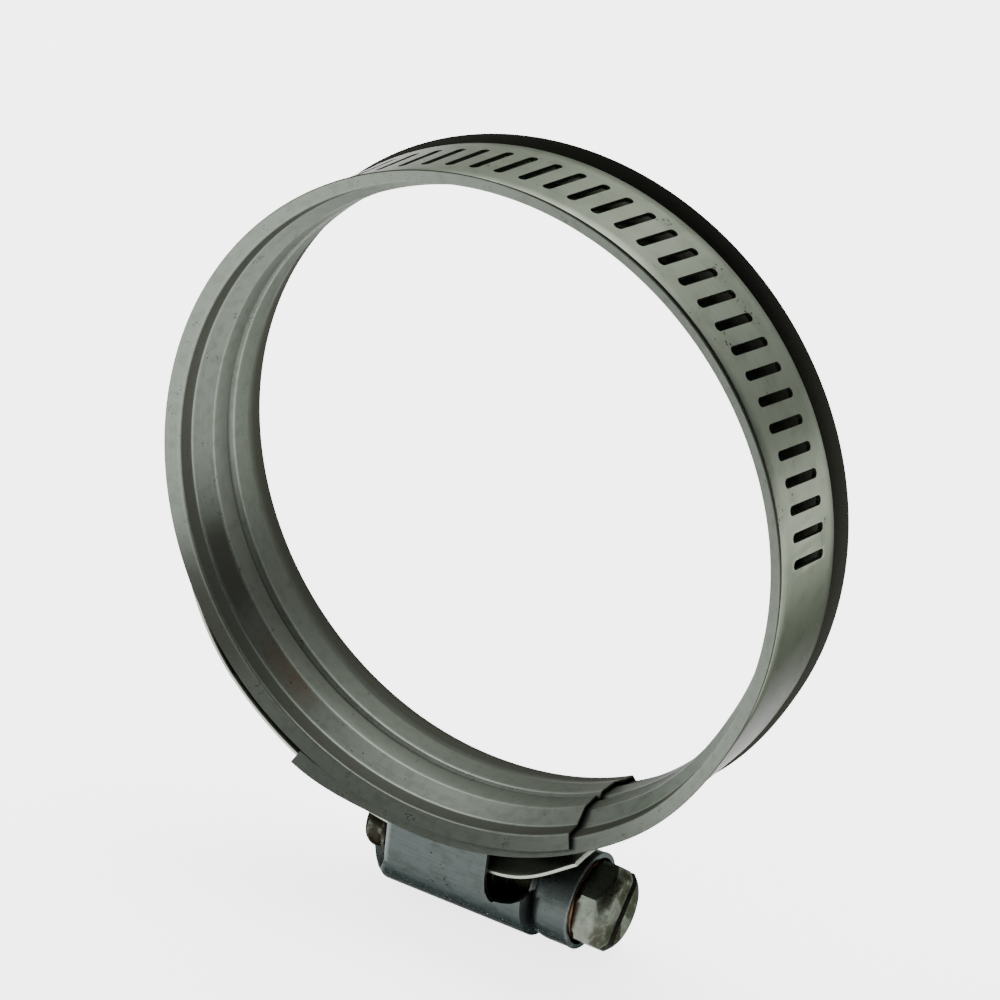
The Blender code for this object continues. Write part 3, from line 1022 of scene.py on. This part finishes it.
@dataclass
class Housing:
    """The pressed housing: a barrel, a saddle, an end lip, a window and a bell."""

    finish: Finish = HOUSING_STEEL
    radius: float = 7.3
    sheet: float = 0.65
    left: float = -5.2
    lip: float = 0.9
    right: float = 12.9
    saddle: float = 40.25
    saddle_sheet: float = 0.5
    bell_radius: float = 5.8
    pieces: list[bpy.types.Object] = field(default_factory=list)

    def arch(self, name: str, radius: float, low: float, high: float, top: float) -> Any:
        """Make a solid with a half-round bottom whose top follows the ring.

        Args:
            name: the object's name.
            radius: the bottom's radius.
            low: its left end, which reaches further at the bottom.
            high: its right end.
            top: the radius from the ring's middle to its top.

        Returns:
            The solid.
        """
        bm = bmesh.new()
        rings = []
        for share in np.linspace(0.0, 1.0, 25):
            x = low + (high - low) * share
            under_top = RING_MIDDLE.z / MM - math.sqrt(top * top - x * x)
            outline = [
                (radius * math.cos(turn), self.radius + radius * math.sin(turn))
                for turn in np.linspace(-math.pi, 0.0, 41)
            ]
            outline += [(radius, under_top), (-radius, under_top)]
            ring = []
            for y, z in outline:
                reach = self.lip * (1.0 - share) ** 3 * ease(5.4, 3.4, z)
                ring.append(bm.verts.new(Vector((x - reach, y, z)) * MM))
            rings.append(ring)
        close_rings(bm, rings)
        return object_from(bm, name)

    def window(self) -> bpy.types.Object:
        """Make the cutter for the window in front of the collar.

        Returns:
            The cutter, whose lower edge rises towards the bell.
        """
        axis = SCREW_MIDDLE.z / MM
        outline = [
            (8.0, 40.0), (8.05, axis + 2.2), (8.25, axis + 0.6), (8.7, axis - 0.2),
            (9.2, axis - 0.55), (9.6, axis - 0.25), (10.6, axis - 0.05), (11.8, axis + 0.4),
            (12.6, axis + 1.0), (13.5, axis + 1.6), (19.0, axis + 1.6), (19.0, 40.0),
        ]
        bm = bmesh.new()
        rings = [
            [bm.verts.new(Vector((x, side, z)) * MM) for x, z in outline] for side in (-15.0, 15.0)
        ]
        close_rings(bm, rings)
        return object_from(bm, "window")

    def end_lip(self) -> bpy.types.Object:
        """Make the lip that curls up under the screw's tip.

        Returns:
            The lip.
        """
        bm = bmesh.new()
        middle = self.radius - self.sheet / 2
        rings = []
        for turn in np.linspace(math.radians(-148), math.radians(-32), 25):
            ring = []
            side = 0.06 + 0.94 * ease(0.0, math.radians(30), math.radians(58) - abs(turn + math.pi / 2))
            thick = self.sheet / 2
            start = self.left - 0.5
            for reach, rise in ((0.0, 0.0), (1.2, 0.25), (2.4, 1.0), (3.2, 2.0), (3.8, 3.1), (4.1, 4.0)):
                ring.append((start - reach * side, middle - rise * side + thick))
            for reach, rise in ((3.4, 4.0), (3.1, 3.3), (2.6, 2.3), (1.9, 1.4), (1.0, 0.75), (0.0, 0.5)):
                ring.append((start - reach * side, middle - rise * side - thick))
            rings.append([
                bm.verts.new(Vector((
                    x, radius * math.cos(turn), self.radius + radius * math.sin(turn)
                )) * MM)
                for x, radius in ring
            ])
        close_rings(bm, rings)
        return object_from(bm, "housing_lip_skin")

    def channel(self) -> bpy.types.Object:
        """Make the cutter that keeps the housing clear of the tail.

        Returns:
            The cutter.
        """
        bm = bmesh.new()
        rings = []
        for turn in np.linspace(math.radians(-115), math.radians(-55), 31):
            rings.append([
                bm.verts.new(Vector((
                    radius * math.cos(turn), across, RING_MIDDLE.z / MM + radius * math.sin(turn)
                )) * MM)
                for radius, across in ((41.0, 6.65), (41.0, -6.65), (42.2, -6.65), (42.2, 6.65))
            ])
        close_rings(bm, rings)
        return object_from(bm, "channel")

    def build(self) -> None:
        """Make the housing and set it on the frame."""
        body = self.arch("housing_skin", self.radius, self.left, self.right, self.saddle)
        inner = self.radius - self.sheet
        room = self.arch(
            "room", inner, self.left - 0.6, self.right - self.sheet,
            self.saddle + self.saddle_sheet,
        )
        combine(body, room, "DIFFERENCE")
        combine(body, self.window(), "DIFFERENCE")
        soften(body, 0.16)
        rim = self.bell_radius
        bell = lathe("housing_bell_skin", [
            (12.25, 2.9), (12.25, 4.1), (13.2, 4.1), (13.25, 4.8), (13.6, 5.35), (14.0, 5.6),
            (14.6, 5.75), (15.2, rim), (17.7, rim), (18.0, rim + 0.06), (18.2, rim + 0.04),
            (18.3, rim - 0.1), (18.3, 5.25), (18.2, 5.15), (13.9, 5.1), (13.85, 2.9),
        ], 96)
        combine(bell, self.channel(), "DIFFERENCE")
        combine(body, self.channel(), "DIFFERENCE")
        lip = self.end_lip()
        material = self.finish.make()
        for piece in (body, bell, lip):
            finished(piece, material, 40.0)
            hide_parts("housing")
            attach(piece, Body.FIXED.value)
        self.pieces = [body, bell, lip]


@dataclass
class Screw:
    """The worm screw: tip, thread, neck, collar and a hex head with a slot."""

    finish: Finish = SCREW_STEEL
    pitch: float = 3.0
    core: float = 3.2
    crest: float = 4.3
    worm: tuple[float, float] = (-8.6, 9.0)
    hexagon: tuple[float, float] = (18.6, 22.4)
    flats: float = 9.5
    hex_turn: float = math.radians(24.0)
    slot_turn: float = math.radians(-36.0)
    crest_at: float = 0.0
    pieces: list[bpy.types.Object] = field(default_factory=list)

    def thread(self) -> bpy.types.Object:
        """Make the thread's ridge, which starts and ends gently.

        Returns:
            The ridge, with its foot inside the core.
        """
        foot, tip, sunk = 1.2, 0.45, self.core - 0.4
        start, end = self.worm
        length = end - start - foot
        count = int(length / self.pitch * 60)
        bm = bmesh.new()
        rings = []
        for number in range(count + 1):
            along = start + foot / 2 + length * number / count
            turn = math.pi / 2 + 2 * math.pi * (along - self.crest_at) / self.pitch
            rise = min(1.0, (number + 1) / 16, (count - number + 1) / 16)
            crest = self.core + (self.crest - self.core) * rise
            outline = (
                (-foot / 2, sunk), (-0.75 * foot / 2, self.core + 0.05),
                (-tip / 2 - 0.05, crest - 0.12 * rise), (-tip / 2 + 0.08, crest),
                (tip / 2 - 0.08, crest), (tip / 2 + 0.05, crest - 0.12 * rise),
                (0.75 * foot / 2, self.core + 0.05), (foot / 2, sunk),
            )
            rings.append([
                bm.verts.new(SCREW_MIDDLE + MM * Vector((
                    along + offset, radius * math.cos(turn), radius * math.sin(turn)
                )))
                for offset, radius in outline
            ])
        close_rings(bm, rings)
        return object_from(bm, "screw_thread_skin")

    def head(self) -> bpy.types.Object:
        """Make the hex head, with its corners turned off and a slot across its end.

        Returns:
            The head.
        """
        low, high = self.hexagon
        corner = self.flats / math.sqrt(3)
        bm = bmesh.new()
        bmesh.ops.create_cone(
            bm, cap_ends=True, segments=6, radius1=corner * MM, radius2=corner * MM,
            depth=(high - low + 0.2) * MM,
        )
        turn = Matrix.Rotation(self.hex_turn, 3, "X") @ Matrix.Rotation(math.pi / 2, 3, "Y")
        bmesh.ops.rotate(bm, verts=bm.verts, matrix=turn)
        middle = Vector(((high + low - 0.2) / 2, 0.0, 0.0)) * MM
        bmesh.ops.translate(bm, verts=bm.verts, vec=middle + SCREW_MIDDLE)
        made = object_from(bm, "screw_head_skin")
        reach = corner + 0.3
        trim = lathe("trim", [
            (low - 1.0, 0.0), (low - 1.0, 4.7), (low + 0.35, 5.2), (low + 0.6, reach),
            (high - 1.7, reach), (high - 1.25, 5.2), (high - 0.8, 4.85), (high - 0.35, 4.4),
            (high - 0.08, 4.0), (high, 3.7), (high, 0.0),
        ], 96)
        combine(made, trim, "INTERSECT")
        half = 0.75
        slot = block(
            "slot", Vector((high - 1.6, -half, -9.0 + SCREW_MIDDLE.z / MM)),
            Vector((high + 2.0, half, 9.0 + SCREW_MIDDLE.z / MM)), self.slot_turn,
        )
        combine(made, slot, "DIFFERENCE")
        soften(made, 0.14, 30.0)
        return made

    def build(self) -> None:
        """Make the screw and set it on its body."""
        tip_radius = 3.3
        left = -11.1
        start, end = self.worm
        core = lathe("screw_core_skin", [
            (left, 0.0), (left + 0.05, 1.4), (left + 0.25, 2.2), (left + 0.6, 2.85),
            (left + 1.0, 3.15), (left + 1.5, tip_radius), (start, tip_radius),
            (start + 0.15, self.core), (end, self.core), (end + 0.6, 2.6), (14.3, 2.6),
            (14.3, 4.6), (14.5, 4.85), (18.0, 4.85), (18.3, 4.7), (18.6, 4.3), (19.0, 4.2),
            (19.0, 0.0),
        ], 96)
        combine(core, self.thread(), "UNION")
        head = self.head()
        material = self.finish.make()
        for piece in (core, head):
            finished(piece, material, 40.0)
            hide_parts("screw")
            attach(piece, Body.WORM.value)
        self.pieces = [core, head]


def set_camera() -> None:
    """Place the camera for the main view: a long lens, from the front right and above."""
    azimuth, elevation, roll = math.radians(27.55), math.radians(24.82), 0.1197
    back = Vector((
        math.sin(azimuth) * math.cos(elevation),
        -math.cos(azimuth) * math.cos(elevation),
        math.sin(elevation),
    ))
    level = Vector((math.cos(azimuth), math.sin(azimuth), 0.0))
    rise = back.cross(level)
    right = level * math.cos(roll) + rise * math.sin(roll)
    up = rise * math.cos(roll) - level * math.sin(roll)
    data = bpy.data.cameras.new("camera")
    data.lens = 130.35
    data.sensor_width = 36.0
    data.clip_start = 0.01
    camera = bpy.data.objects.new("camera", data)
    bpy.context.scene.collection.objects.link(camera)
    turn = Matrix((right, up, back)).transposed().to_4x4()
    target = RING_MIDDLE + Vector((0.47, 0.0, -0.49)) * MM
    camera.matrix_world = Matrix.Translation(target + back * 402.1 * MM) @ turn
    bpy.context.scene.camera = camera


@dataclass(frozen=True)
class Softbox:
    """A rectangular light that faces the clamp."""

    name: str
    place: tuple[float, float, float]
    size: tuple[float, float]
    power: float

    def build(self) -> None:
        """Add the light."""
        data = bpy.data.lights.new(self.name, "AREA")
        data.shape = "RECTANGLE"
        data.size, data.size_y = self.size
        data.energy = self.power
        lamp = bpy.data.objects.new(self.name, data)
        lamp.location = self.place
        lamp.rotation_euler = (RING_MIDDLE - Vector(self.place)).to_track_quat("-Z", "Y").to_euler()
        bpy.context.scene.collection.objects.link(lamp)


@dataclass(frozen=True)
class Glow:
    """A part of the sky that is lighter or darker."""

    towards: tuple[float, float, float]
    outer_deg: float
    inner_deg: float
    light: float


@dataclass
class Studio:
    """A white floor, a soft sky and softboxes."""

    floor_side: float = 12.0
    sky: float = 0.45
    floor_glow: float = 3.2
    glows: tuple[Glow, ...] = (
        Glow((-0.35, 0.75, 0.55), 70.0, 15.0, 2.4),
        Glow((0.95, -0.10, 0.15), 60.0, 20.0, 0.18),
        Glow((-0.2, -1.0, 0.3), 40.0, 10.0, 0.7),
    )
    boxes: tuple[Softbox, ...] = (
        Softbox("top_box", (-0.15, 0.35, 0.9), (0.9, 0.7), 9.0),
        Softbox("left_box", (-0.8, -0.25, 0.5), (0.5, 0.8), 2.5),
    )

    def floor(self) -> None:
        """Make the floor."""
        bm = bmesh.new()
        bmesh.ops.create_grid(bm, x_segments=1, y_segments=1, size=self.floor_side / 2)
        floor = object_from(bm, "floor")
        floor.location.z = CAD_BOUNDS[0].z - 0.02 * MM
        material = bpy.data.materials.new("floor_white")
        material.use_nodes = True
        shader = material.node_tree.nodes["Principled BSDF"]
        shader.inputs["Base Color"].default_value = (0.9, 0.9, 0.9, 1.0)
        shader.inputs["Roughness"].default_value = 0.9
        shader.inputs["Specular IOR Level"].default_value = 0.0
        shader.inputs["Emission Color"].default_value = (1.0, 1.0, 1.0, 1.0)
        shader.inputs["Emission Strength"].default_value = self.floor_glow
        floor.data.materials.append(material)

    def heaven(self) -> None:
        """Make the sky: an even light with lighter and darker parts."""
        world = bpy.data.worlds.new("sky")
        bpy.context.scene.world = world
        world.use_nodes = True
        tree = world.node_tree
        where = node(tree, "TexCoord").outputs["Generated"]
        light: Any = self.sky
        for glow in self.glows:
            facing = node(
                tree, "VectorMath", {"operation": "DOT_PRODUCT"},
                {0: where, 1: Vector(glow.towards).normalized()},
            ).outputs["Value"]
            outer, inner = math.cos(math.radians(glow.outer_deg)), math.cos(math.radians(glow.inner_deg))
            share = ramp(tree, facing, outer, inner)
            light = node(
                tree, "Mix", {"data_type": "FLOAT"}, {0: share, 2: light, 3: glow.light}
            ).outputs[0]
        tree.links.new(light, tree.nodes["Background"].inputs["Strength"])
        tree.nodes["Background"].inputs["Color"].default_value = linear("#fbfdfa")

    def build(self) -> None:
        """Make the floor, the sky and the lights."""
        self.floor()
        self.heaven()
        for softbox in self.boxes:
            softbox.build()


def main() -> None:
    """Build the scene in order."""
    logging.basicConfig(level=logging.INFO)
    band = Band()
    places = [TAIL_MIDDLE_MM * math.cos(math.radians(angle)) for angle in band.slot_angles()]
    near = min(places[-12:], key=abs)
    for assembly in (Liner(), band, Housing(), Screw(crest_at=near)):
        assembly.build()
        LOG.info("%s: %d pieces", type(assembly).__name__, len(assembly.pieces))
    Studio().build()
    set_camera()


if __name__ == "__main__":
    main()
